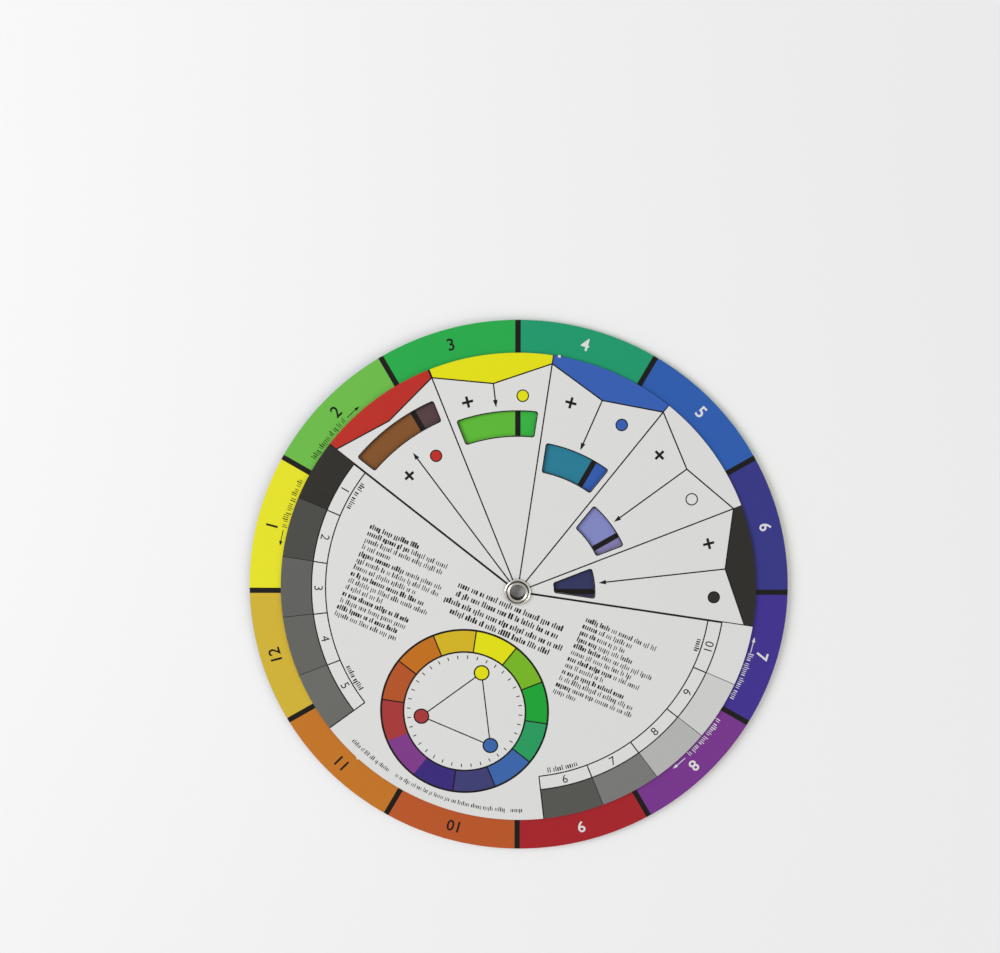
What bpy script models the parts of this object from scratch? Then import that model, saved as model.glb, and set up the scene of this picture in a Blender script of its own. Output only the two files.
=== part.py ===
"""A colour mixing wheel: a printed card wheel with a card dial on each face, both turning on one eyelet.

It lies flat with the windowed dial up. The origin is on the eyelet's axis, at the underside of its
rear flange. Lengths are in metres and angles in degrees, anticlockwise from +X.
"""

import math

import bpy

# Cards
WHEEL_RADIUS = 0.065
WHEEL_THICKNESS = 0.00045
DIAL_RADIUS = 0.0573
REAR_DIAL_RADIUS = 0.036
DIAL_THICKNESS = 0.00035
RUNNING_GAP = 0.0003

# Windows of the front dial, from the rim inwards, as shares of its radius. Each lies in its own
# sector of a fan, and its margins are the card left between its sides and the sector's
WINDOW_INNER_SHARES = (0.787, 0.658, 0.518, 0.367, 0.157)
WINDOW_OUTER_SHARES = (0.873, 0.759, 0.635, 0.482, 0.323)
WINDOW_MARGINS = (0.0019, 0.0018, 0.0016, 0.0014, 0.0013)
WINDOW_CORNER_RADIUS = 0.0008
FAN_START = 141.6
SECTOR_ANGLE = 30.0

# Stubs that the die leaves on the dial's edge, where the card was torn from its sheet
STUB_ANGLES = (80.2, 226.6)
STUB_WIDTH = 0.0005
STUB_HEIGHT = 0.00015

# Eyelet and the washer under its rolled lip, both pressed from thin sheet
BORE_RADIUS = 0.00185
EYELET_SHEET = 0.00025
FLANGE_RADIUS = 0.0032
FLANGE_BEND_RADIUS = 0.00025
LIP_RADIUS = 0.00033
LIP_DROP_ANGLE = 25.0
WASHER_SHEET = 0.00018
WASHER_BEAD_RADIUS = 0.00029
WASHER_BEAD_DISTANCE = 0.00289
WASHER_CLEARANCE = 0.0001

# Facets
EDGE_STEPS = 180
HOLE_STEPS = 48
CORNER_STEPS = 5
WINDOW_ARC_STEP = 2.0
BEND_STEPS = 4
TURN_STEPS = 48

# The stack, from the underside of the flange up
BARREL_RADIUS = BORE_RADIUS + EYELET_SHEET
REAR_DIAL_BOTTOM = EYELET_SHEET + RUNNING_GAP
WHEEL_BOTTOM = REAR_DIAL_BOTTOM + DIAL_THICKNESS + RUNNING_GAP
FRONT_DIAL_BOTTOM = WHEEL_BOTTOM + WHEEL_THICKNESS + RUNNING_GAP
WASHER_BOTTOM = FRONT_DIAL_BOTTOM + DIAL_THICKNESS + RUNNING_GAP


def clear_scene():
    for thing in list(bpy.data.objects):
        bpy.data.objects.remove(thing)


def new_material(name, colour, roughness, metallic=0.0):
    material = bpy.data.materials.new(name)
    material.use_nodes = True
    shader = material.node_tree.nodes["Principled BSDF"]
    shader.inputs["Base Color"].default_value = (*colour, 1.0)
    shader.inputs["Roughness"].default_value = roughness
    shader.inputs["Metallic"].default_value = metallic
    return material


def polar(radius, angle):
    return radius * math.cos(math.radians(angle)), radius * math.sin(math.radians(angle))


def arc(centre, radius, start, end, steps):
    """Points from one angle to another about a centre, both ends included."""
    points = []
    for step in range(steps + 1):
        x, y = polar(radius, start + (end - start) * step / steps)
        points.append((centre[0] + x, centre[1] + y))
    return points


def circle(radius, steps):
    return arc((0.0, 0.0), radius, 0.0, 360.0, steps)[:-1]


def stubbed_circle(radius):
    """The dial's edge: one arc from each stub to the next, and the stub's two outer corners."""
    half = math.degrees(math.asin(STUB_WIDTH / 2 / radius))
    points = []
    for angle, following in zip(STUB_ANGLES, STUB_ANGLES[1:] + (STUB_ANGLES[0] + 360.0,)):
        points += [polar(radius + STUB_HEIGHT, angle + side * half / 2) for side in (-1, 1)]
        steps = round(EDGE_STEPS * (following - angle) / 360.0)
        points += arc((0.0, 0.0), radius, angle + half, following - half, steps)
    return points


def window_outline(middle, inner, outer, margin):
    """One window, anticlockwise: an outer and an inner arc, joined by sides parallel to the sector's.

    The centre of each corner's round lies one corner radius inside the window's two sides.
    """
    half = SECTOR_ANGLE / 2

    def corner(radius, side):
        aside = math.degrees(math.asin((margin + WINDOW_CORNER_RADIUS) / radius))
        return radius, middle + side * (half - aside)

    def turn(place, start, end):
        return arc(polar(*place), WINDOW_CORNER_RADIUS, start, end, CORNER_STEPS)

    def sweep(radius, start, end):
        steps = max(2, round(abs(end - start) / WINDOW_ARC_STEP))
        return arc((0.0, 0.0), radius, start, end, steps)[1:-1]

    outer_right = corner(outer - WINDOW_CORNER_RADIUS, -1)
    outer_left = corner(outer - WINDOW_CORNER_RADIUS, 1)
    inner_left = corner(inner + WINDOW_CORNER_RADIUS, 1)
    inner_right = corner(inner + WINDOW_CORNER_RADIUS, -1)
    right_normal = middle - half - 90.0
    left_normal = middle + half + 90.0
    points = turn(outer_right, right_normal, outer_right[1])
    points += sweep(outer, outer_right[1], outer_left[1])
    points += turn(outer_left, outer_left[1], left_normal)
    points += turn(inner_left, left_normal, inner_left[1] + 180.0)
    points += sweep(inner, inner_left[1], inner_right[1])
    points += turn(inner_right, inner_right[1] + 180.0, right_normal + 360.0)
    return points


def strip_outline(centreline, thickness):
    """The section of sheet metal bent along a centreline: one face out, the other face back."""
    left, right = [], []
    last = len(centreline) - 1
    for index, (x, z) in enumerate(centreline):
        before = centreline[max(index - 1, 0)]
        after = centreline[min(index + 1, last)]
        length = math.dist(before, after)
        normal_x = (before[1] - after[1]) / length * thickness / 2
        normal_z = (after[0] - before[0]) / length * thickness / 2
        left.append((x + normal_x, z + normal_z))
        right.append((x - normal_x, z - normal_z))
    return left + right[::-1]


def card(name, outlines, bottom, thickness, material, collection):
    """A flat die-cut card: the first outline is its edge, and the others are its holes."""
    curve = bpy.data.curves.new(name, "CURVE")
    curve.dimensions = "2D"
    curve.fill_mode = "BOTH"
    curve.extrude = thickness / 2
    for outline in outlines:
        spline = curve.splines.new("POLY")
        spline.points.add(len(outline) - 1)
        for point, (x, y) in zip(spline.points, outline):
            point.co = (x, y, 0.0, 1.0)
        spline.use_cyclic_u = True
    curve.materials.append(material)
    piece = bpy.data.objects.new(name, curve)
    piece.location.z = bottom + thickness / 2
    collection.objects.link(piece)
    return piece


def turned(name, section, material, collection):
    """A section at +X, closed and turned once about the eyelet's axis."""
    mesh = bpy.data.meshes.new(name)
    count = len(section)
    rim = [(index, (index + 1) % count) for index in range(count)]
    mesh.from_pydata([(x, 0.0, z) for x, z in section], rim, [])
    mesh.materials.append(material)
    piece = bpy.data.objects.new(name, mesh)
    screw = piece.modifiers.new("Turn", "SCREW")
    screw.angle = math.tau
    screw.steps = TURN_STEPS
    screw.render_steps = TURN_STEPS
    screw.use_merge_vertices = True
    screw.merge_threshold = 0.000001
    screw.use_smooth_shade = True
    collection.objects.link(piece)
    return piece


def eyelet_section():
    """A flat rear flange, a quarter bend into the barrel, and a lip that rolls out over the washer."""
    wall = BORE_RADIUS + EYELET_SHEET / 2
    middle = EYELET_SHEET / 2
    roll = LIP_RADIUS - EYELET_SHEET / 2
    drop = LIP_RADIUS * math.sin(math.radians(LIP_DROP_ANGLE))
    roll_height = WASHER_BOTTOM + WASHER_SHEET + WASHER_CLEARANCE + drop
    line = arc((wall + roll, roll_height), roll, -LIP_DROP_ANGLE, 180.0, 2 * BEND_STEPS)
    bend_centre = (wall + FLANGE_BEND_RADIUS, middle + FLANGE_BEND_RADIUS)
    line += arc(bend_centre, FLANGE_BEND_RADIUS, 180.0, 270.0, BEND_STEPS)
    line.append((FLANGE_RADIUS, middle))
    return strip_outline(line, EYELET_SHEET)


def washer_section():
    """A flat floor round the barrel, and a bead that arches up and down again to its outer edge."""
    floor = WASHER_BOTTOM + WASHER_SHEET / 2
    arch = WASHER_BEAD_RADIUS - WASHER_SHEET / 2
    line = arc((WASHER_BEAD_DISTANCE, floor), arch, 0.0, 180.0, 2 * BEND_STEPS)
    line.append((BARREL_RADIUS + WASHER_CLEARANCE, floor))
    return strip_outline(line, WASHER_SHEET)


def build():
    clear_scene()
    parts = bpy.data.collections.new("color_mixing_wheel")
    bpy.context.scene.collection.children.link(parts)
    printed = new_material("printed_card", (0.10, 0.38, 0.20), 0.35)
    white = new_material("white_card", (0.70, 0.70, 0.69), 0.38)
    rear_white = new_material("rear_white_card", (0.68, 0.68, 0.67), 0.38)
    eyelet_metal = new_material("eyelet_nickel", (0.60, 0.59, 0.53), 0.25, 1.0)
    washer_metal = new_material("washer_nickel", (0.66, 0.65, 0.60), 0.22, 1.0)

    hole = circle(BARREL_RADIUS + RUNNING_GAP, HOLE_STEPS)
    wheel_edge = circle(WHEEL_RADIUS, EDGE_STEPS)
    card("outer_wheel", [wheel_edge, hole], WHEEL_BOTTOM, WHEEL_THICKNESS, printed, parts)

    windows = []
    shares = zip(WINDOW_INNER_SHARES, WINDOW_OUTER_SHARES, WINDOW_MARGINS)
    for index, (inner, outer, margin) in enumerate(shares):
        middle = FAN_START - SECTOR_ANGLE * (index + 0.5)
        windows.append(window_outline(middle, inner * DIAL_RADIUS, outer * DIAL_RADIUS, margin))
    front = [stubbed_circle(DIAL_RADIUS), hole, *windows]
    card("front_dial", front, FRONT_DIAL_BOTTOM, DIAL_THICKNESS, white, parts)

    rear = [circle(REAR_DIAL_RADIUS, EDGE_STEPS), hole]
    card("rear_dial", rear, REAR_DIAL_BOTTOM, DIAL_THICKNESS, rear_white, parts)

    turned("eyelet", eyelet_section(), eyelet_metal, parts)
    turned("eyelet_washer", washer_section(), washer_metal, parts)


build()
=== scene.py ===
"""A colour mixing wheel: three printed cards that turn on one pressed eyelet.

The print is part of each card's mesh: its two faces are cut along the edges of the inks, so a line
stays sharp from any distance. Drawings are in millimetres, with angles in degrees, anticlockwise
from +X. The scene itself is in metres.
"""
import math
import random

import bpy
from mathutils import Matrix, Vector
from mathutils.geometry import delaunay_2d_cdt
from mathutils.kdtree import KDTree


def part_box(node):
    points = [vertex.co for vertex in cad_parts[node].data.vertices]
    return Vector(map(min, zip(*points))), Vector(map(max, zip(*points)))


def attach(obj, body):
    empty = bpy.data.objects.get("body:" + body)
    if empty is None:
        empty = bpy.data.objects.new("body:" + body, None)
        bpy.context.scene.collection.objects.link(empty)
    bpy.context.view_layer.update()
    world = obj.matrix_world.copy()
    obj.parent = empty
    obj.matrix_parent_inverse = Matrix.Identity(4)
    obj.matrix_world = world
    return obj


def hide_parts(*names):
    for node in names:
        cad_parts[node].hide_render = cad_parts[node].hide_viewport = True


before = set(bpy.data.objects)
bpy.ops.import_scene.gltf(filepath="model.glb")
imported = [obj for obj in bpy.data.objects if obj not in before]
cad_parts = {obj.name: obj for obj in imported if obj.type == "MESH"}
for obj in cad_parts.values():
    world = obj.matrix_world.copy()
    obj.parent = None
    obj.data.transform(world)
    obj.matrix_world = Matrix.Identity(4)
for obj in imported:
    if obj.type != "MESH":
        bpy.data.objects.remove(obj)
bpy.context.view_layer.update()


# The outer wheel is one round board, coated white, printed on both faces and then die-cut, with a
# hole for the eyelet in its middle. Its front carries twelve hues with black bars between them, and
# five rings of mixtures that the dial's windows show. Its back has the hues with shades and tints.
MM = 0.001
collection = bpy.context.scene.collection

WHEEL_RADIUS = 65.0
HOLE_RADIUS = 2.4
HOLE_STEP = 7.5
SECTOR = 30.0
BAR_WIDTH = 1.3

# The round along a cut edge, its facets, and how far a print runs past the cut
CUT_ROUND = 0.06
CUT_STEPS = 3
BLEED = 1.0

BLACK_INK = (33, 31, 29)
PAPER = (218, 218, 216)
WHEEL_CORE = (214, 211, 203)

# One hue to a sector, anticlockwise from +X
HUES = {
    "blue_violet": (58, 58, 134),
    "blue": (50, 94, 172),
    "blue_green": (36, 152, 108),
    "green": (44, 168, 76),
    "yellow_green": (108, 184, 74),
    "yellow": (226, 222, 42),
    "yellow_orange": (205, 176, 56),
    "orange": (192, 117, 42),
    "red_orange": (183, 88, 45),
    "red": (164, 40, 46),
    "red_violet": (120, 56, 140),
    "violet": (66, 52, 142),
}

# Hues so dark that their numbers are white
PALE_NUMBERED = ("blue_green", "blue", "blue_violet", "violet", "red_violet", "red")

# The five mixing rings, from the middle out: what each adds to the hues, and where it ends
RING_START = 8.0
RINGS = (("black", 19.8), ("white", 28.6), ("blue", 37.0), ("yellow", 44.3), ("red", 51.0))
ADDED = {
    "black": (56, 53, 50),
    "white": PAPER,
    "blue": (59, 93, 172),
    "yellow": (200, 200, 42),
    "red": (170, 34, 48),
}

# Cells where the printed mixture departs from the plain blend of its two colours
TRIMMED = {
    "yellow_green_with_red": (131, 84, 46),
    "green_with_red": (86, 65, 67),
    "blue_green_with_yellow": (57, 176, 68),
    "blue_green_with_blue": (45, 124, 149),
    "blue_with_white": (130, 136, 192),
    "blue_violet_with_white": (132, 123, 172),
    "blue_violet_with_black": (54, 58, 94),
}

# The back, from the middle out: where its shades, its tints and its pure hues start
SHADES_START = 37.0
TINTS_START = 45.5
PURE_START = 54.0
BACK_BAR = 0.4
BACK_LINE = 0.3

# The numbers of the hues: for each side, how far out they stand and how tall they are
NUMBER_SIDES = (("front", 61.3, 2.9), ("back", 59.5, 3.0))
NUMBER_WEIGHT = 0.014


class Value:
    """A socket of numbers: its operators add Math nodes, so shader maths reads as an expression."""

    def __init__(self, finish, socket):
        self.finish = finish
        self.socket = socket

    def maths(self, operation, other=0.0, swapped=False):
        first, second = (other, self) if swapped else (self, other)
        made = self.finish.node("ShaderNodeMath", {"operation": operation}, {0: first, 1: second})
        return Value(self.finish, made.outputs[0])

    def __add__(self, other):
        return self.maths("ADD", other)

    def __sub__(self, other):
        return self.maths("SUBTRACT", other)

    def __rsub__(self, other):
        return self.maths("SUBTRACT", other, True)

    def __mul__(self, other):
        return self.maths("MULTIPLY", other)

    def __abs__(self):
        return self.maths("ABSOLUTE")

    __radd__ = __add__
    __rmul__ = __mul__


class Finish:
    """The nodes of one material, or of the sky, and the shader whose plain settings are given."""

    def __init__(self, owner, shader, settings):
        owner.use_nodes = True
        self.owner = owner
        self.tree = owner.node_tree
        self.shader = self.tree.nodes[shader]
        for socket, value in settings.items():
            self.shader.inputs[socket].default_value = value

    def node(self, kind, settings, sockets):
        """Any node: its own settings first, then the values or links of its sockets."""
        made = self.tree.nodes.new(kind)
        for name, value in settings.items():
            setattr(made, name, value)
        for name, value in sockets.items():
            self.feed(made.inputs[name], value)
        return made

    def feed(self, socket, value):
        if isinstance(value, Value):
            value = value.socket
        if isinstance(value, bpy.types.NodeSocket):
            self.tree.links.new(value, socket)
        else:
            socket.default_value = value

    def value(self, kind, settings, sockets, output=0):
        return Value(self, self.node(kind, settings, sockets).outputs[output])

    def spread(self, value, low, high, at_low, at_high, blend="LINEAR"):
        """A number that runs from one level to another while a value goes from low to high."""
        return self.value("ShaderNodeMapRange", {"interpolation_type": blend}, {
            "Value": value, "From Min": low, "From Max": high, "To Min": at_low, "To Max": at_high})

    def place(self):
        return self.node("ShaderNodeTexCoord", {}, {}).outputs["Object"]

    def distance(self, shares=(1.0, 1.0, 1.0)):
        """How far a point lies from the origin, along the axes that are asked for."""
        along = self.node("ShaderNodeVectorMath", {"operation": "MULTIPLY"},
                          {0: self.place(), 1: shares}).outputs[0]
        return self.value("ShaderNodeVectorMath", {"operation": "LENGTH"}, {0: along}, "Value")

    def noise(self, scale, detail=2.0, place=None):
        sockets = {"Vector": place or self.place(), "Scale": scale, "Detail": detail}
        return self.value("ShaderNodeTexNoise", {}, sockets)

    def vary(self, socket, value):
        """Lets a value or a link drive one of the shader's own sockets."""
        self.feed(self.shader.inputs[socket], value)

    def bump(self, height, strength, distance):
        sockets = {"Height": height, "Strength": strength, "Distance": distance}
        self.vary("Normal", self.node("ShaderNodeBump", {}, sockets).outputs["Normal"])


def painted(name, colour, settings):
    settings = {"Base Color": (*colour, 1.0), **settings}
    return Finish(bpy.data.materials.new(name), "Principled BSDF", settings)


def linear(colour):
    """A colour from screen values of 0 to 255 to the shader's own scale, by the sRGB curve."""
    shares = [value / 255.0 for value in colour]
    return tuple(s / 12.92 if s <= 0.04045 else ((s + 0.055) / 1.055) ** 2.4 for s in shares)


# What the coating's own gloss adds to every ink under a plain light, so that the inks go without it
GLOSS_SHARE = 0.0085
DARKEST_INK = 0.002

# The coating is uneven at three sizes, each with its own scale and its own share of the height
TOOTH_SCALE = 5200.0
TOOTH_SHARE = 0.12
MOTTLE_SCALE = 700.0
MOTTLE_SHARE = 0.2
SWELL_SCALE = 42.0
SWELL_SHARE = 6.0
COATING_BUMP = 0.5
COATING_RELIEF = 0.00006
COATING_ROUGHNESS = 0.34
COATING_ROUGHNESS_RANGE = 0.2


def coated_card(name, colour):
    """Printed and coated board: a fine tooth, a slow swell in the sheet, and a gloss that varies."""
    ink = tuple(max(DARKEST_INK, value - GLOSS_SHARE) for value in linear(colour))
    finish = painted(name, ink, {"IOR": 1.5, "Specular IOR Level": 0.2})
    mottle = finish.noise(MOTTLE_SCALE, detail=3.0)
    finish.vary("Roughness", COATING_ROUGHNESS + mottle * COATING_ROUGHNESS_RANGE)
    tooth = finish.noise(TOOTH_SCALE, detail=2.0)
    swell = finish.noise(SWELL_SCALE, detail=1.0)
    height = tooth * TOOTH_SHARE + mottle * MOTTLE_SHARE + swell * SWELL_SHARE
    finish.bump(height, COATING_BUMP, COATING_RELIEF)
    return finish.owner


# The bare board's fibres, and how dull they leave it
FIBRE_SCALE = 3000.0
FIBRE_BUMP = 0.6
FIBRE_RELIEF = 0.00005
BOARD_ROUGHNESS = 0.72
BOARD_ROUGHNESS_RANGE = 0.2


def bare_card(name, colour):
    """The cut edge and the uncoated back of the board: dull, pale and fibrous."""
    finish = painted(name, linear(colour), {"IOR": 1.45})
    fibres = finish.noise(FIBRE_SCALE, detail=4.0)
    finish.vary("Roughness", BOARD_ROUGHNESS + fibres * BOARD_ROUGHNESS_RANGE)
    finish.bump(fibres, FIBRE_BUMP, FIBRE_RELIEF)
    return finish.owner


def point(radius, angle, centre=(0.0, 0.0)):
    turn = math.radians(angle)
    return centre[0] + radius * math.cos(turn), centre[1] + radius * math.sin(turn)


def arc(radius, start, end, centre=(0.0, 0.0), step=2.0):
    """Points from one angle to another, both ends included."""
    steps = max(1, math.ceil(abs(end - start) / step))
    return [point(radius, start + (end - start) * k / steps, centre) for k in range(steps + 1)]


def disc(radius, centre=(0.0, 0.0), step=2.0):
    return arc(radius, 0.0, 360.0, centre, step)[:-1]


def band(inner, outer, start, end, centre=(0.0, 0.0)):
    """A part of a ring."""
    return arc(outer, start, end, centre) + arc(inner, end, start, centre)


def bar(start, end, width):
    """A straight line of one width, as a thin rectangle."""
    length = math.dist(start, end)
    across = ((start[1] - end[1]) / length * width / 2, (end[0] - start[0]) / length * width / 2)
    corners = ((start, 1), (start, -1), (end, -1), (end, 1))
    return [(x + across[0] * side, y + across[1] * side) for (x, y), side in corners]


def spoke(inner, outer, angle, width, centre=(0.0, 0.0)):
    return bar(point(inner, angle, centre), point(outer, angle, centre), width)


def hoop(radius, width, centre=(0.0, 0.0), start=0.0, end=360.0):
    """A thin line round a centre, as short bands."""
    count = max(1, round((end - start) / SECTOR))
    turns = [start + (end - start) * k / count for k in range(count + 1)]
    edges = (radius - width / 2, radius + width / 2)
    return [band(*edges, first, last, centre) for first, last in zip(turns, turns[1:])]


def straight(origin, turn):
    """Sets a drawing at a point, with its own x axis turned."""
    cos, sin = math.cos(math.radians(turn)), math.sin(math.radians(turn))
    return lambda x, y: (origin[0] + x * cos - y * sin, origin[1] + x * sin + y * cos)


def around(radius, angle, inward=False):
    """Bends a drawing round the middle, with its tops outward, or inward where that is asked."""
    side = -1.0 if inward else 1.0
    return lambda x, y: point(radius + side * y, angle - side * math.degrees(x / radius))


# Corners closer than MERGE become one, so a number's slivers thinner than LEAST_WIDTH are left out
MERGE = 0.0005
LEAST_WIDTH = 0.002
FIGURE_STEPS = 3


def numeral(text, height, weight=0.0):
    """A number as triangles, in Blender's own plain figures, centred on its own origin."""
    curve = bpy.data.curves.new("numeral", "FONT")
    curve.body = text
    curve.resolution_u = FIGURE_STEPS
    curve.offset = weight
    holder = bpy.data.objects.new("numeral", curve)
    shape = bpy.data.meshes.new_from_object(holder)
    xs = [vertex.co.x for vertex in shape.vertices]
    ys = [vertex.co.y for vertex in shape.vertices]
    scale = height / (max(ys) - min(ys))
    middle = ((max(xs) + min(xs)) / 2, (max(ys) + min(ys)) / 2)
    triangles = []
    for face in shape.polygons:
        corners = [shape.vertices[index].co for index in face.vertices]
        longest = max((a - b).length for a, b in zip(corners, corners[1:] + corners[:1]))
        if face.area * scale / longest > LEAST_WIDTH:
            places = [((co.x - middle[0]) * scale, (co.y - middle[1]) * scale) for co in corners]
            triangles.append(places)
    bpy.data.objects.remove(holder)
    bpy.data.meshes.remove(shape)
    bpy.data.curves.remove(curve)
    return triangles


# A row of strokes: how many stand in a group, and how far one rises or drops, in heights of the row
GROUP_SIZES = (2, 7)
RISES = (1.0, 1.0, 1.0, 1.4)
DROP = 0.32
DROP_CHANCE = 0.12

# How thick a stroke is, as a share of the row's weight, and what lies between one and the next:
# shares of the height, of the weight and of the stroke, and the blank after a row, in heights
THICKNESSES = (1.0, 1.0, 1.5)
BOLD = 1.5
HEIGHT_GAP = 0.42
WEIGHT_GAP = 0.25
STROKE_GAP = 0.3
LAST_GAP = 0.9


def strokes(length, height, weight, chance, bold=0.0, centred=False):
    """A row of short upright strokes in groups, like small print, of which the first share is bold."""
    drawn = []
    x = 0.0
    while x < length - height:
        heavy = BOLD if x < bold * length else 1.0
        for _ in range(chance.randint(*GROUP_SIZES)):
            rise = chance.choice(RISES)
            drop = DROP if rise == 1.0 and chance.random() < DROP_CHANCE else 0.0
            thick = weight * heavy * chance.choice(THICKNESSES)
            if x < length:
                drawn.append(bar((x, -drop * height), (x, rise * height), thick))
                x += HEIGHT_GAP * height + WEIGHT_GAP * weight + STROKE_GAP * thick
        x += HEIGHT_GAP * height
    shift = -(x - LAST_GAP * height) / 2 if centred else 0.0
    return [[(px + shift, py) for px, py in shape] for shape in drawn]


def arrow(length, width, head_length, head_width):
    """A thin arrow from its own origin along +x."""
    neck = length - head_length
    head = [(neck, -head_width / 2), (length, 0.0), (neck, head_width / 2)]
    return [bar((0.0, 0.0), (neck, 0.0), width), head]


def cut_edge(bottom, top):
    """The section of a cut edge, from the top down: how far out each level lies, and how high."""
    turns = [math.radians(90.0 * k / CUT_STEPS) for k in range(CUT_STEPS + 1)]
    shoulder = [(CUT_ROUND * math.sin(a), CUT_ROUND * (1.0 - math.cos(a))) for a in turns]
    levels = [(aside, top - down) for aside, down in shoulder]
    return levels + [(aside, bottom + up) for aside, up in reversed(shoulder)]


# What the cut is asked for: the triangles that lie inside an outline
INSIDE = 1


class Card:
    """A printed card. Each area of ink lies over the ones before it, and holes are cut last."""

    def __init__(self):
        self.points = []
        self.outlines = []
        self.marks = []

    def area(self, ink, outline, side="front"):
        if side == "back":
            outline = [(-x, y) for x, y in outline]
        pairs = zip(outline, outline[1:] + outline[:1])
        if sum(x1 * y2 - x2 * y1 for (x1, y1), (x2, y2) in pairs) < 0.0:
            outline = outline[::-1]
        start = len(self.points)
        self.points += [Vector(place) for place in outline]
        self.outlines.append(list(range(start, len(self.points))))
        self.marks.append((side, ink))

    def draw(self, ink, shapes, lay=None, side="front"):
        for shape in shapes:
            self.area(ink, [lay(x, y) for x, y in shape] if lay else shape, side)

    def cut(self, slots):
        """The corners and the cells between all outlines, and each cell's ink in front and behind."""
        places, _, cells, _, _, sources = delaunay_2d_cdt(
            self.points, [], self.outlines, INSIDE, MERGE, True
        )
        # Where several lines cross at one point, the cut leaves several corners there: keep one
        tree = KDTree(len(places))
        for index, place in enumerate(places):
            tree.insert(place.to_3d(), index)
        tree.balance()
        kept = [min(near[1] for near in tree.find_range(p.to_3d(), MERGE / 2)) for p in places]

        flat = []
        for cell, source in zip(cells, sources):
            cell = [kept[index] for index in cell]
            if len(set(cell)) < 3:
                continue
            face = {}
            for index in sorted(source):
                side, ink = self.marks[index]
                face[side] = ink
            if "hole" not in face and "card" in face:
                flat.append((cell, slots.index(face["front"]), slots.index(face["back"])))
        return places, flat

    def build(self, name, inks, bottom, top):
        """One closed mesh: both printed faces share their cuts, and walls of bare board join them."""
        slots = list(inks)
        places, flat = self.cut(slots)
        beside = {}
        for cell, front, back in flat:
            for start, end in zip(cell, cell[1:] + cell[:1]):
                beside[(start, end)] = (front, back)
        rim = [edge for edge in beside if (edge[1], edge[0]) not in beside]
        leaning = {}
        for start, end in rim:
            along = (places[end] - places[start]).normalized()
            for index in (start, end):
                leaning.setdefault(index, []).append(Vector((along.y, -along.x)))

        levels = cut_edge(bottom, top)
        vertices, known = [], {}

        def vertex(index, level):
            key = (index, level)
            if key not in known:
                aside, height = levels[level]
                place = places[index].copy()
                if aside:
                    # Both walls that meet here move out by the same distance
                    lean = sum(leaning[index], Vector((0.0, 0.0)))
                    place += lean * (aside * 2.0 / max(lean.length_squared, 1.0))
                known[key] = len(vertices)
                vertices.append((place.x * MM, place.y * MM, height * MM))
            return known[key]

        last = len(levels) - 1
        wall = last // 2
        faces, materials = [], []
        for cell, front, back in flat:
            faces.append([vertex(index, 0) for index in cell])
            faces.append([vertex(index, last) for index in reversed(cell)])
            materials += [front, back]
        printed = len(faces)
        core = slots.index("core")
        for start, end in rim:
            for level in range(last):
                lower = level + 1
                corners = ((start, level), (start, lower), (end, lower), (end, level))
                faces.append([vertex(*corner) for corner in corners])
                front, back = beside[(start, end)]
                materials.append(core if level == wall else front if level < wall else back)
        mesh = bpy.data.meshes.new(name)
        mesh.from_pydata(vertices, [], faces)
        for ink in slots:
            mesh.materials.append(inks[ink])
        mesh.polygons.foreach_set("material_index", materials)
        smooth = [number >= printed for number in range(len(faces))]
        mesh.polygons.foreach_set("use_smooth", smooth)
        mesh.update()
        piece = bpy.data.objects.new(name, mesh)
        collection.objects.link(piece)
        return piece


def heights(node):
    """A node's lowest and highest level, in millimetres."""
    low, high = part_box(node)
    return low[2] / MM, high[2] / MM


def mixed(hue, added):
    """Two inks over each other: white thins a hue, and any other colour darkens it."""
    if added == "white":
        return tuple((a + b) / 2 for a, b in zip(HUES[hue], ADDED[added]))
    return tuple(math.sqrt(a * b) for a, b in zip(HUES[hue], ADDED[added]))


def hue_number(number):
    """A hue's number on the object: they run clockwise from yellow."""
    return str((list(HUES).index("yellow") - number) % len(HUES) + 1)


inks = {"paper": coated_card("paper_white", PAPER)}
inks["black"] = coated_card("ink_black", BLACK_INK)
inks["core"] = bare_card("card_core", WHEEL_CORE)
for hue, colour in HUES.items():
    inks[hue] = coated_card("ink_" + hue, colour)
    for added, _ in RINGS:
        cell = f"{hue}_with_{added}"
        inks[cell] = coated_card("ink_" + cell, TRIMMED.get(cell, mixed(hue, added)))

wheel = Card()
beyond = WHEEL_RADIUS + BLEED
wheel.area("card", disc(WHEEL_RADIUS - CUT_ROUND), "card")
for side in ("front", "back"):
    wheel.area("paper", disc(beyond), side)

for number, hue in enumerate(HUES):
    start, end = number * SECTOR, (number + 1) * SECTOR
    wheel.area(hue, band(RINGS[-1][1], beyond, start, end))
    inner = RING_START
    for added, outer in RINGS:
        wheel.area(f"{hue}_with_{added}", band(inner, outer, start, end))
        inner = outer

    # The back: pure hues at the rim, then a tint, and a shade inside it
    wheel.area(hue, band(PURE_START, beyond, start, end), "back")
    wheel.area(f"{hue}_with_white", band(TINTS_START, PURE_START, start, end), "back")
    wheel.area(f"{hue}_with_black", band(SHADES_START, TINTS_START, start, end), "back")

for number in range(len(HUES)):
    wheel.area("black", spoke(RING_START, beyond, number * SECTOR, BAR_WIDTH))
    wheel.area("black", spoke(SHADES_START, beyond, number * SECTOR, BACK_BAR), "back")
for radius in (SHADES_START, TINTS_START, PURE_START):
    wheel.draw("black", hoop(radius, BACK_LINE), side="back")

for number, hue in enumerate(HUES):
    angle = (number + 0.5) * SECTOR
    ink = "paper" if hue in PALE_NUMBERED else "black"
    for side, radius, height in NUMBER_SIDES:
        lay = straight(point(radius, angle), angle - 90.0)
        wheel.draw(ink, numeral(hue_number(number), height, NUMBER_WEIGHT), lay, side)

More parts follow.
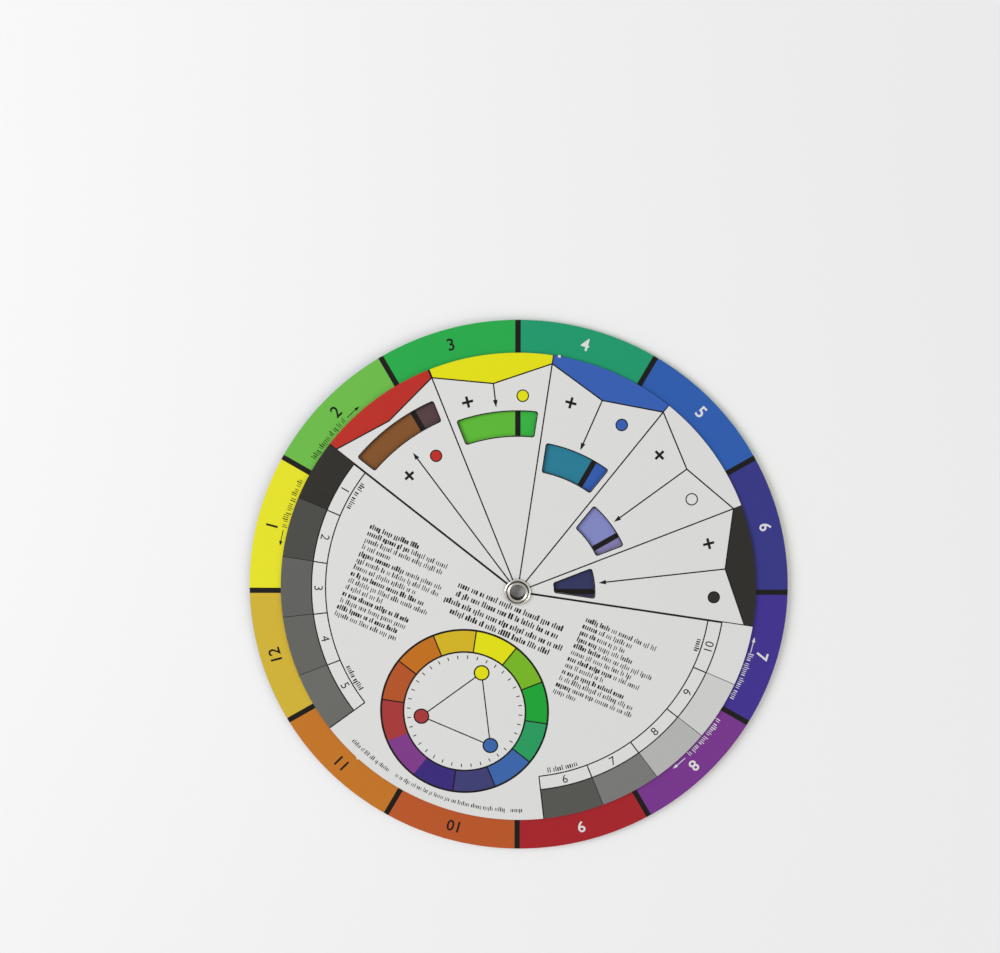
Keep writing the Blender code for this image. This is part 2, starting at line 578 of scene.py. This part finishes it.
# The turn from warm hues to cool ones: a small arrow each way, and a row of strokes beside it. An
# arrow has its length and width, then its head's, and a row has its length, height and weight
TURN_ARROW = (4.0, 0.2, 1.25, 0.85)
TURN_ARROW_RADIUS = 58.4
TURN_ROW = (12.0, 0.95, 0.17)
TURN_ROW_RADIUS = 57.95

# Each one's ink, where the arrow's tail is, which way it points, and the middle of its row
TURN_PLACES = (
    ("black", 134.1, 1, 140.8),
    ("black", 165.3, -1, 158.6),
    ("paper", -14.9, -1, -21.0),
    ("paper", -45.2, 1, -38.4),
)
SEED = 11
chance = random.Random(SEED)
for ink, tail, way, row_middle in TURN_PLACES:
    pointer = [[(x * way, y) for x, y in shape] for shape in arrow(*TURN_ARROW)]
    wheel.draw(ink, pointer, around(TURN_ARROW_RADIUS, tail))
    row = strokes(*TURN_ROW, chance, centred=True)
    wheel.draw(ink, row, around(TURN_ROW_RADIUS, row_middle))
hole = disc(HOLE_RADIUS + CUT_ROUND, step=HOLE_STEP)
wheel.area("hole", hole, "hole")

piece = wheel.build("printed_outer_wheel", inks, *heights("outer_wheel"))
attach(piece, "wheel")
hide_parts("outer_wheel")


# The front dial is a thinner card, coated and printed on its face only. Five windows with rounded
# corners are die-cut through it, each over one mixing ring, and its edge keeps two small stubs
# where it was torn from its sheet. The eyelet holds it on the wheel, and it turns there.
DIAL_RADIUS = 57.3
DIAL_CORE = (216, 213, 206)
REVERSE = (206, 204, 197)
FINE_LINE = 0.33
HEAVY_LINE = 0.5

# The fan, clockwise: where its lines start, where each sector's fill ends at its sides and in its
# middle, and the tip and the head of each sector's arrow
FAN_START = 141.6
FAN_END = -8.4
FAN_HUB = 3.0
SHOULDER = 55.3
POINTS = (51.3, 50.4, 50.2, 50.0, 50.1)
ARROW_TIPS = (41.9, 44.7, 37.3, 28.6, 19.6)
ARROW_HEAD = (1.8, 1.15)
RIM_LINE = 0.28

# The two signs beside an arrow: how far out they stand, and how many degrees aside. A dot has the
# radius of its ring and of its fill
OUTER_SIGNS = (47.2, 8.0)
INNER_SIGNS = (38.2, 6.0)
PLUS_ARM = 1.35
PLUS_LINE = 0.62
SIGN_DOT = (1.5, 1.22)
DOT_STEP = 12.0

# The windows, from the rim inwards. A margin is the card between a window's side and its sector's
WINDOW_INNER = (45.1, 37.7, 29.7, 21.0, 9.0)
WINDOW_OUTER = (50.0, 43.5, 36.4, 27.6, 18.5)
WINDOW_MARGINS = (1.9, 1.8, 1.6, 1.4, 1.3)
WINDOW_CORNER = 0.65
CORNER_STEP = 18.0
WINDOW_LINE = 0.26

STUB_ANGLES = (80.2, 226.8)
STUB_WIDTH = 0.8
STUB_HEIGHT = 0.3
STUB_BARE_SHARE = 0.8


def stubbed_edge(radius):
    """The dial's edge: one arc from each stub to the next, and each stub's two outer corners."""
    half = math.degrees(math.asin(STUB_WIDTH / 2 / radius))
    outline = []
    for angle, following in zip(STUB_ANGLES, STUB_ANGLES[1:] + (STUB_ANGLES[0] + 360.0,)):
        outline += [point(radius + STUB_HEIGHT, angle + side * half / 2) for side in (-1, 1)]
        outline += arc(radius, angle + half, following - half)
    return outline


def window(middle, inner, outer, margin, corner):
    """A window's outline: two arcs, joined by sides that run along the sector's own."""
    half = SECTOR / 2

    def across(radius, side):
        """The angle at which a corner's round is centred."""
        return middle + side * (half - math.degrees(math.asin((margin + corner) / radius)))

    def turn(radius, side, start, end):
        return arc(corner, start, end, point(radius, across(radius, side)), CORNER_STEP)

    right, left = middle - half - 90.0, middle + half + 90.0
    outer_middle, inner_middle = outer - corner, inner + corner
    outer_right, outer_left = across(outer_middle, -1), across(outer_middle, 1)
    inner_right, inner_left = across(inner_middle, -1), across(inner_middle, 1)
    outline = turn(outer_middle, -1, right, outer_right)
    outline += arc(outer, outer_right, outer_left)[1:-1]
    outline += turn(outer_middle, 1, outer_left, left)
    outline += turn(inner_middle, 1, left, inner_left + 180.0)
    outline += arc(inner, inner_left, inner_right)[1:-1]
    outline += turn(inner_middle, -1, inner_right + 180.0, right + 360.0)
    return outline


def dot(card, fill, centre, outer, inner):
    """A dot of one ink with a black ring round it."""
    card.area("black", disc(outer, centre, DOT_STEP))
    card.area(fill, disc(inner, centre, DOT_STEP))


# The fan's fills, clockwise: each is the colour that the ring under its window adds
FILLS = {
    "fan_red": (184, 50, 42),
    "fan_yellow": (224, 220, 20),
    "fan_blue": (58, 96, 176),
    "paper": PAPER,
    "fan_black": (50, 48, 45),
}

# The gray scale's swatches: five from black at the fan's start, and five from white at its end
GRAYS = {
    "gray_1": (50, 49, 45),
    "gray_2": (76, 76, 73),
    "gray_3": (97, 98, 95),
    "gray_4": (100, 100, 97),
    "gray_5": (106, 106, 103),
    "gray_10": (218, 218, 216),
    "gray_9": (204, 204, 202),
    "gray_8": (179, 179, 177),
    "gray_7": (121, 121, 119),
    "gray_6": (87, 87, 83),
}

# The small circle's hues, clockwise from the top
SMALL_HUES = {
    "small_yellow": (223, 220, 20),
    "small_yellow_green": (120, 180, 41),
    "small_green": (34, 163, 56),
    "small_blue_green": (44, 154, 94),
    "small_blue": (62, 102, 168),
    "small_blue_violet": (66, 65, 116),
    "small_violet": (62, 46, 122),
    "small_red_violet": (126, 62, 136),
    "small_red": (166, 60, 60),
    "small_red_orange": (178, 86, 44),
    "small_orange": (192, 112, 34),
    "small_yellow_orange": (208, 177, 40),
}

dial_inks = {"paper": coated_card("dial_white", PAPER)}
dial_inks["black"] = coated_card("dial_black", BLACK_INK)
dial_inks["core"] = bare_card("dial_core", DIAL_CORE)
dial_inks["reverse"] = bare_card("dial_reverse", REVERSE)
for name, colour in {**FILLS, **GRAYS}.items():
    if name not in dial_inks:
        dial_inks[name] = coated_card("ink_" + name, colour)
for name, colour in SMALL_HUES.items():
    dial_inks[name] = coated_card("ink_" + name, colour)

dial = Card()
beyond = DIAL_RADIUS + BLEED
dial.area("card", stubbed_edge(DIAL_RADIUS - CUT_ROUND), "card")
dial.area("paper", disc(beyond))
dial.area("reverse", disc(beyond), "back")

# The fan: each sector's rim is filled down to a V
for number, (fill, tip) in enumerate(zip(FILLS, POINTS)):
    start = FAN_START - number * SECTOR
    middle, end = start - SECTOR / 2, start - SECTOR
    vee = [point(SHOULDER, start), point(tip, middle), point(SHOULDER, end)]
    dial.area(fill, vee + arc(beyond, end, start))
    for first, second in zip(vee, vee[1:]):
        dial.area("black", bar(first, second, FINE_LINE))
for number in range(len(FILLS) + 1):
    width = HEAVY_LINE if number in (0, len(FILLS)) else FINE_LINE
    rim_width = HEAVY_LINE if number in (0, 1) else RIM_LINE
    angle = FAN_START - number * SECTOR
    dial.area("black", spoke(FAN_HUB, SHOULDER, angle, width))
    dial.area("black", spoke(SHOULDER, beyond, angle, rim_width))

# The first arrow points out from the hub, and the others point in from their fills
arrow_starts = (FAN_HUB,) + POINTS[1:]
for number, (fill, start, tip) in enumerate(zip(FILLS, arrow_starts, ARROW_TIPS)):
    middle = FAN_START - (number + 0.5) * SECTOR
    inwards = tip < start
    turn = middle + 180.0 if inwards else middle
    lay = straight(point(start, middle), turn)
    dial.draw("black", arrow(abs(tip - start), FINE_LINE, *ARROW_HEAD), lay)

    # With the rim up, a plus sign is on the arrow's left, and a dot of the added colour on its right
    radius, aside = OUTER_SIGNS if inwards else INNER_SIGNS
    lay = straight(point(radius, middle + aside), middle + aside - 90.0)
    plus = [bar((-PLUS_ARM, 0.0), (PLUS_ARM, 0.0), PLUS_LINE)]
    plus.append(bar((0.0, -PLUS_ARM), (0.0, PLUS_ARM), PLUS_LINE))
    dial.draw("black", plus, lay)
    dot(dial, fill, point(radius, middle - aside), *SIGN_DOT)

# The gray scale: ten swatches at the rim, five on each side, and a numbered cell inside each
SWATCH_START = 49.8
CELL_START = 46.4
CELL_LINE = 0.31
CELL_NUMBER = 2.1
SWATCH_ANGLE = SECTOR / 2
SWATCHES = 5
for number in range(SWATCHES):
    for gray, start, side in (
        (f"gray_{number + 1}", FAN_START + number * SWATCH_ANGLE, 1),
        (f"gray_{2 * SWATCHES - number}", FAN_END - (number + 1) * SWATCH_ANGLE, -1),
    ):
        dial.area(gray, band(SWATCH_START, beyond, start, start + SWATCH_ANGLE))
        middle = start + SWATCH_ANGLE / 2
        radius = (SWATCH_START + CELL_START) / 2
        lay = straight(point(radius, middle), middle + 90.0)
        dial.draw("black", numeral(gray.removeprefix("gray_"), CELL_NUMBER), lay)
        divider = start if side < 0 else start + SWATCH_ANGLE
        dial.area("black", spoke(CELL_START, beyond, divider, CELL_LINE))
for start in (FAN_START, FAN_END - SWATCHES * SWATCH_ANGLE):
    end = start + SWATCHES * SWATCH_ANGLE
    for radius in (CELL_START, SWATCH_START):
        dial.draw("black", hoop(radius, CELL_LINE, start=start, end=end))

# A short row of strokes at both ends of the scale's two halves: the middle and the length of each
LABELS = ((149.2, 8.5), (208.5, 8.1), (-16.5, 4.3), (-75.8, 8.1))
LABEL_RADIUS = 45.8
LABEL_HEIGHT = 0.95
LABEL_WEIGHT = 0.23
for angle, length in LABELS:
    row = strokes(length, LABEL_HEIGHT, LABEL_WEIGHT, chance, centred=True)
    dial.draw("black", row, around(LABEL_RADIUS, angle, inward=True))

# The small hue circle, with a triad inside it: a thin triangle from yellow to blue to red
CIRCLE_WAY = 246.6
CIRCLE_CENTRE = point(32.5, CIRCLE_WAY)
CIRCLE_TOP = 66.6
CIRCLE_INNER = 14.9
CIRCLE_INNER_LINE = 0.42
CIRCLE_OUTER = 20.4
TRIAD_RADIUS = 10.6
TRIAD_LINE = 0.3
TRIAD_TURN = 120.0
TRIAD_DOT = (1.95, 1.6)
UNDIVIDED = (4, 5)
TICKS = 36
TICK_START = 13.2
TICK_END = 14.1
TICK_LINE = 0.24
for number, hue in enumerate(SMALL_HUES):
    angle = CIRCLE_TOP - number * SECTOR
    start, end = angle - SECTOR / 2, angle + SECTOR / 2
    dial.area(hue, band(CIRCLE_INNER, CIRCLE_OUTER, start, end, CIRCLE_CENTRE))
for number in range(len(SMALL_HUES)):
    # No line divides red, red-violet and violet
    if number not in UNDIVIDED:
        angle = CIRCLE_TOP + (number + 0.5) * SECTOR
        dial.area("black", spoke(CIRCLE_INNER, CIRCLE_OUTER, angle, FINE_LINE, CIRCLE_CENTRE))
dial.draw("black", hoop(CIRCLE_INNER, CIRCLE_INNER_LINE, CIRCLE_CENTRE))
dial.draw("black", hoop(CIRCLE_OUTER, HEAVY_LINE, CIRCLE_CENTRE))
corners = [point(TRIAD_RADIUS, CIRCLE_TOP - TRIAD_TURN * k, CIRCLE_CENTRE) for k in range(3)]
for first, second in zip(corners, corners[1:] + corners[:1]):
    dial.area("black", bar(first, second, TRIAD_LINE))
for corner, hue in zip(corners, ("small_yellow", "small_blue", "small_red")):
    dot(dial, hue, corner, *TRIAD_DOT)
for number in range(TICKS):
    angle = CIRCLE_TOP + number * 360.0 / TICKS
    dial.area("black", spoke(TICK_START, TICK_END, angle, TICK_LINE, CIRCLE_CENTRE))

# Three blocks of rows of strokes, all turned the same way. In the two at the sides, each row has its
# length and the share of it that is bold
ROWS_TURN = -23.4
ROW_WEIGHT = 0.21
SIDE_ROW_HEIGHT = 0.92
LEFT_ROWS = ((12.4, 1.0), (22.2, 0.5), (21.5, 0.0), (7.7, 0.0), (22.0, 0.55), (21.5, 0.0), (16.2, 0.0),
             (20.4, 1.0), (21.1, 0.0), (9.6, 0.0), (18.5, 1.0), (17.5, 0.0), (16.1, 1.0), (16.4, 0.0))
RIGHT_ROWS = ((18.9, 0.2), (13.0, 0.26), (13.0, 0.31), (14.6, 0.36), (20.5, 0.36), (16.0, 0.0),
              (19.6, 0.46), (10.2, 0.0), (17.2, 0.8), (20.7, 0.0), (21.2, 0.18), (6.1, 0.0))

# Where the first and the last row of each of the two starts
LEFT_STARTS = ((-35.4, 15.3), (-44.3, -5.9))
RIGHT_STARTS = ((16.5, -7.3), (8.7, -24.9))
for rows, (first, last) in ((LEFT_ROWS, LEFT_STARTS), (RIGHT_ROWS, RIGHT_STARTS)):
    for number, (length, bold) in enumerate(rows):
        share = number / (len(rows) - 1)
        start = [a + (b - a) * share for a, b in zip(first, last)]
        row = strokes(length, SIDE_ROW_HEIGHT, ROW_WEIGHT, chance, bold)
        dial.draw("black", row, straight(start, ROWS_TURN))

# The third lies between the eyelet and the circle, all bold: how far down each row is, and its length
MIDDLE_ROWS = ((4.7, 28.5), (6.9, 26.5), (9.2, 31.0), (11.4, 27.0))
MIDDLE_ROW_HEIGHT = 1.05
for distance, length in MIDDLE_ROWS:
    row = strokes(length, MIDDLE_ROW_HEIGHT, ROW_WEIGHT, chance, bold=1.0, centred=True)
    dial.draw("black", row, straight(point(distance, CIRCLE_WAY), ROWS_TURN))

# A finer row follows the dial's lower edge, in three parts: the middle and the length of each
EDGE_ROW = ((228.8, 12.6), (251.9, 28.8), (269.8, 3.6))
EDGE_ROW_RADIUS = 55.3
EDGE_ROW_HEIGHT = 0.8
EDGE_ROW_WEIGHT = 0.17
for angle, length in EDGE_ROW:
    row = strokes(length, EDGE_ROW_HEIGHT, EDGE_ROW_WEIGHT, chance, centred=True)
    dial.draw("black", row, around(EDGE_ROW_RADIUS, angle, inward=True))

# A thin black line is drawn round each window, and bare board shows at the two torn stubs, as far
# inside the edge as they stand out
for number in range(len(WINDOW_INNER)):
    middle = FAN_START - (number + 0.5) * SECTOR
    sizes = (WINDOW_INNER[number], WINDOW_OUTER[number], WINDOW_MARGINS[number], WINDOW_CORNER)
    for ink, side, more in (("black", "front", WINDOW_LINE), ("hole", "hole", CUT_ROUND)):
        # A wider window starts further in and ends further out, and leaves less card at its sides
        grown = [size + more * sign for size, sign in zip(sizes, (-1, 1, -1, 0))]
        dial.area(ink, window(middle, *grown), side)
for angle in STUB_ANGLES:
    bare = spoke(DIAL_RADIUS - STUB_HEIGHT, beyond, angle, STUB_WIDTH * STUB_BARE_SHARE)
    dial.area("core", bare)
dial.area("hole", hole, "hole")

piece = dial.build("printed_front_dial", dial_inks, *heights("front_dial"))
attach(piece, "front_dial")
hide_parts("front_dial")


# The rear dial is a small round card, printed on the side that faces away, which the eyelet holds
# against the wheel's back. Its thin lines join hues that go together: opposite ones, and those a
# third or a quarter of the way round.
REAR_RADIUS = 36.0
REAR_CORE = (215, 212, 205)
REAR_RING = 34.8
REAR_RING_LINE = 0.25
REAR_TICK_START = 33.2
REAR_TICK_LINE = 0.3
REAR_NUMBER_RADIUS = 30.8
REAR_NUMBER_HEIGHT = 2.4
REAR_NUMBER_WEIGHT = 0.02

# The figures of lines: how many corners each has, how far out they lie, where the first one is, and
# the dot at each corner
LINK_CORNERS = (2, 3, 4)
LINK_RADIUS = 27.0
LINK_START = 75.0
LINK_LINE = 0.28
LINK_DOT = 0.9
LINK_DOT_STEP = 15.0
rear_inks = {
    "paper": coated_card("rear_white", PAPER),
    "black": coated_card("rear_black", BLACK_INK),
    "core": bare_card("rear_core", REAR_CORE),
    "reverse": bare_card("rear_reverse", REVERSE),
}
rear = Card()
beyond = REAR_RADIUS + BLEED
rear.area("card", disc(REAR_RADIUS - CUT_ROUND), "card")
rear.area("reverse", disc(beyond))
rear.area("paper", disc(beyond), "back")
rear.draw("black", hoop(REAR_RING, REAR_RING_LINE), side="back")
for number in range(len(HUES)):
    angle = (number + 0.5) * SECTOR
    rear.area("black", spoke(REAR_TICK_START, REAR_RING, angle, REAR_TICK_LINE), "back")
    figure = numeral(hue_number(number), REAR_NUMBER_HEIGHT, REAR_NUMBER_WEIGHT)
    lay = straight(point(REAR_NUMBER_RADIUS, angle), angle - 90.0)
    rear.draw("black", figure, lay, "back")
for corners in LINK_CORNERS:
    ends = [point(LINK_RADIUS, LINK_START + 360.0 * k / corners) for k in range(corners)]
    for first, second in zip(ends, ends[1:] + ends[:1]):
        rear.area("black", bar(first, second, LINK_LINE), "back")
    for end in ends:
        rear.area("black", disc(LINK_DOT, end, LINK_DOT_STEP), "back")
rear.area("hole", hole, "hole")

piece = rear.build("printed_rear_dial", rear_inks, *heights("rear_dial"))
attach(piece, "rear_dial")
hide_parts("rear_dial")


# The eyelet is pressed from thin nickel-plated sheet: a flat flange behind the cards, a hollow
# barrel through them, and a lip rolled outward over the washer in front, which holds the stack.
BORE = 1.85
SHEET = 0.25
FLANGE = 3.2
FLANGE_BEND = 0.25
FLANGE_EDGE = 0.08
LIP = 0.33
LIP_DROP = 25.0
GROOVE = 2.55
EYELET_COLOUR = (0.80, 0.77, 0.68)
EYELET_ROUGHNESS = 0.16

# Facets: how many go once round, and the degrees of one along a bend and along a roll
TURNS = 120
BEND_STEP = 15.0
ROLL_STEP = 12.0

# Tarnish and painted shade: a dark colour in the groove round the lip and in the bore, recesses where
# shade falls. Where it starts to fade and where it has gone, in metres from the middle of the groove
# and from the axis, and the least share of it all along the groove
TARNISH_AND_SHADE = (0.11, 0.095, 0.07)
GROOVE_FADE = (0.00014, 0.00024)
BORE_FADE = (0.00186, 0.00194)
GROOVE_SHARE = 0.6
TARNISH_AND_SHADE_ROUGHNESS = 0.25

# The turning marks and the stain: each one's scale and its share of the height
MARKS_SCALE = 30000.0
MARKS_SHARE = 0.4
STAIN_SCALE = 900.0
STAIN_SHARE = 0.8
STAIN_ROUGHNESS = 0.12
PLATING_BUMP = 0.25
PLATING_RELIEF = 0.00001


def nickel(name, colour, roughness):
    """Plated steel with fine turning marks, and a dark colour in the bore and in the groove round the
    lip, partly tarnish and partly painted shade.
    """
    finish = painted(name, colour, {"Metallic": 1.0, "IOR": 1.5})
    radius = finish.distance((1.0, 1.0, 0.0))
    across = finish.node("ShaderNodeCombineXYZ", {}, {"X": radius}).outputs[0]
    marks = finish.noise(MARKS_SCALE, 2.0, across)
    stain = finish.noise(STAIN_SCALE, detail=3.0)
    # The groove and the bore are painted dark: partly tarnish, partly painted shade in these recesses
    groove = finish.spread(abs(radius - GROOVE * MM), *GROOVE_FADE, 1.0, 0.0)
    inside = finish.spread(radius, *BORE_FADE, 1.0, 0.0)
    patchy = groove * (GROOVE_SHARE + stain * (1.0 - GROOVE_SHARE))
    dark_tarnish_and_shade = patchy.maths("MAXIMUM", inside)

    # Sockets 6 and 7 are the Mix node's two colours, and its third output is their mixture
    mix = finish.node("ShaderNodeMix", {"data_type": "RGBA"}, {
        "Factor": dark_tarnish_and_shade, 6: (*colour, 1.0), 7: (*TARNISH_AND_SHADE, 1.0)})
    finish.vary("Base Color", mix.outputs[2])
    finish.vary("Roughness", roughness + stain * STAIN_ROUGHNESS + dark_tarnish_and_shade * TARNISH_AND_SHADE_ROUGHNESS)
    finish.bump(marks * MARKS_SHARE + stain * STAIN_SHARE, PLATING_BUMP, PLATING_RELIEF)
    return finish.owner


def bent(centreline, thickness):
    """The section of a sheet that follows a centreline: out along one face, back along the other."""
    out, back = [], []
    last = len(centreline) - 1
    for index, (x, z) in enumerate(centreline):
        before = centreline[max(index - 1, 0)]
        after = centreline[min(index + 1, last)]
        length = math.dist(before, after)
        aside = (before[1] - after[1]) / length * thickness / 2
        up = (after[0] - before[0]) / length * thickness / 2
        out.append((x + aside, z + up))
        back.append((x - aside, z - up))
    return out + back[::-1]


def turned(name, section, material):
    """A section turned once about the eyelet's axis."""
    count = len(section)
    vertices, faces = [], []
    for turn in range(TURNS):
        angle = math.tau * turn / TURNS
        for x, z in section:
            vertices.append((x * math.cos(angle) * MM, x * math.sin(angle) * MM, z * MM))
        here, following = turn * count, (turn + 1) % TURNS * count
        for index in range(count):
            step = (index + 1) % count
            faces.append((here + index, here + step, following + step, following + index))
    mesh = bpy.data.meshes.new(name)
    mesh.from_pydata(vertices, [], faces)
    mesh.materials.append(material)
    mesh.polygons.foreach_set("use_smooth", [True] * len(faces))
    mesh.update()
    made = bpy.data.objects.new(name, mesh)
    collection.objects.link(made)
    return made


# The lip stands over the washer, so its height follows from the washer's
washer_floor, _ = heights("eyelet_washer")
WASHER_SHEET = 0.18
WASHER_CLEARANCE = 0.09
wall = BORE + SHEET / 2
roll = LIP - SHEET / 2
drop = LIP * math.sin(math.radians(LIP_DROP))
roll_height = washer_floor + WASHER_SHEET + WASHER_CLEARANCE + drop
bend_centre = (wall + FLANGE_BEND, SHEET / 2 + FLANGE_BEND)
line = arc(roll, -LIP_DROP, 180.0, (wall + roll, roll_height), ROLL_STEP)
line += arc(FLANGE_BEND, 180.0, 270.0, bend_centre, BEND_STEP)

# A narrow last step keeps the shading of the flange flat up to its edge
line.append((FLANGE - FLANGE_EDGE, SHEET / 2))
line.append((FLANGE, SHEET / 2))
plating = nickel("eyelet_plating", EYELET_COLOUR, EYELET_ROUGHNESS)
piece = turned("rolled_eyelet", bent(line, SHEET), plating)
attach(piece, "wheel")
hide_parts("eyelet")


# The washer is a thin pressed ring between the lip and the front dial. Its outer edge is arched
# into a bead, which stands up round the lip and leaves a dark groove between them.
BEAD_RADIUS = 0.29
BEAD_DISTANCE = 2.89
WASHER_COLOUR = (0.82, 0.80, 0.72)
WASHER_ROUGHNESS = 0.15
floor_middle = washer_floor + WASHER_SHEET / 2
arch = BEAD_RADIUS - WASHER_SHEET / 2
line = arc(arch, 0.0, 180.0, (BEAD_DISTANCE, floor_middle), ROLL_STEP)
line.append((BORE + SHEET + WASHER_CLEARANCE, floor_middle))
plating = nickel("washer_plating", WASHER_COLOUR, WASHER_ROUGHNESS)
piece = turned("beaded_washer", bent(line, WASHER_SHEET), plating)
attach(piece, "wheel")
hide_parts("eyelet_washer")


# The studio: the wheel lies on a pale table under two broad soft lamps and an even sky. What is
# seen of the surroundings is brighter than what lights the cards, with a dimmer ceiling overhead.
TABLE_RADIUS = 1500.0
TABLE_PAINT = (0.86, 0.86, 0.86)
TABLE_ROUGHNESS = 0.75
CLOUD_SCALE = 14.0
CLOUD_ROUGHNESS = 0.15
GRAIN_SCALE = 2500.0
GRAIN_BUMP = 0.1
GRAIN_RELIEF = 0.00004
SKY_LEVEL = 0.5
BACKDROP = 0.93
CEILING = 0.45

# Between these distances from the wheel, in metres, the table fades into the backdrop. Between
# these heights, from 0 at the horizon to 1 overhead, the backdrop dims to the ceiling
TABLE_FADE = (0.12, 0.45)
CEILING_RISE = (0.05, 0.8)
WHITE = (1.0, 1.0, 1.0, 1.0)


def seen(finish):
    """Two numbers: 1 for what the camera sees itself, and 1 for what shows in a reflection."""
    rays = finish.node("ShaderNodeLightPath", {}, {}).outputs
    camera, glossy, clear = [Value(finish, rays[f"Is {name} Ray"])
                             for name in ("Camera", "Glossy", "Transmission")]
    return camera, glossy.maths("MAXIMUM", clear)


table = bpy.data.meshes.new("table_top")
edge = [(x * MM, y * MM, 0.0) for x, y in disc(TABLE_RADIUS)]
table.from_pydata(edge, [], [list(range(len(edge)))])
finish = painted("table_paint", TABLE_PAINT, {"Specular IOR Level": 0.2})
cloud = finish.noise(CLOUD_SCALE, detail=3.0)
finish.vary("Roughness", TABLE_ROUGHNESS + cloud * CLOUD_ROUGHNESS)
finish.bump(finish.noise(GRAIN_SCALE), GRAIN_BUMP, GRAIN_RELIEF)

# Away from the wheel, what is seen of the table fades into the backdrop's own pale tone
far = finish.spread(finish.distance(), *TABLE_FADE, 0.0, 1.0, "SMOOTHSTEP")
camera, mirrored = seen(finish)
glow = finish.node("ShaderNodeEmission", {}, {"Color": WHITE, "Strength": BACKDROP})
blend = finish.node("ShaderNodeMixShader", {}, {
    0: far * (camera + mirrored), 1: finish.shader.outputs[0], 2: glow.outputs[0]})
finish.feed(finish.tree.nodes["Material Output"].inputs["Surface"], blend.outputs[0])
table.materials.append(finish.owner)
table_top = bpy.data.objects.new("table_top", table)
collection.objects.link(table_top)

sky = Finish(bpy.data.worlds.new("pale_sky"), "Background", {"Color": WHITE})
towards = sky.node("ShaderNodeTexCoord", {}, {}).outputs["Generated"]
up = sky.value("ShaderNodeSeparateXYZ", {}, {0: towards}, "Z")
room = sky.spread(up, *CEILING_RISE, BACKDROP, CEILING, "SMOOTHSTEP")
camera, mirrored = seen(sky)
level = SKY_LEVEL + camera * (BACKDROP - SKY_LEVEL) + mirrored * (room - SKY_LEVEL)
sky.vary("Strength", level)
bpy.context.scene.world = sky.owner


def lamp(name, place, size, power):
    """A square soft lamp that faces the wheel."""
    data = bpy.data.lights.new(name, "AREA")
    data.size = size
    data.energy = power
    lit = bpy.data.objects.new(name, data)
    lit.location = place
    lit.rotation_euler = (-Vector(place)).to_track_quat("-Z", "Y").to_euler()
    collection.objects.link(lit)


lamp("key_lamp", place=(-0.68, 0.2, 0.62), size=0.6, power=5.55)
lamp("fill_lamp", place=(0.72, -0.36, 0.62), size=0.7, power=2.77)

CAMERA_PLACE = (0.00055, 0.05815, 0.27034)
CAMERA_AXES = ((0.99984, -0.00199, 0.01771), (0.0, 0.99372, 0.11190), (-0.01782, -0.11188, 0.99356))
FOCAL_LENGTH = 40.75
SENSOR_WIDTH = 36.0
NEAREST = 0.01
lens = bpy.data.cameras.new("camera")
lens.lens = FOCAL_LENGTH
lens.sensor_width = SENSOR_WIDTH
lens.clip_start = NEAREST
camera = bpy.data.objects.new("camera", lens)
camera.matrix_world = Matrix.Translation(CAMERA_PLACE) @ Matrix(CAMERA_AXES).to_4x4()
collection.objects.link(camera)
bpy.context.scene.camera = camera
bpy.context.scene.view_settings.view_transform = "Standard"
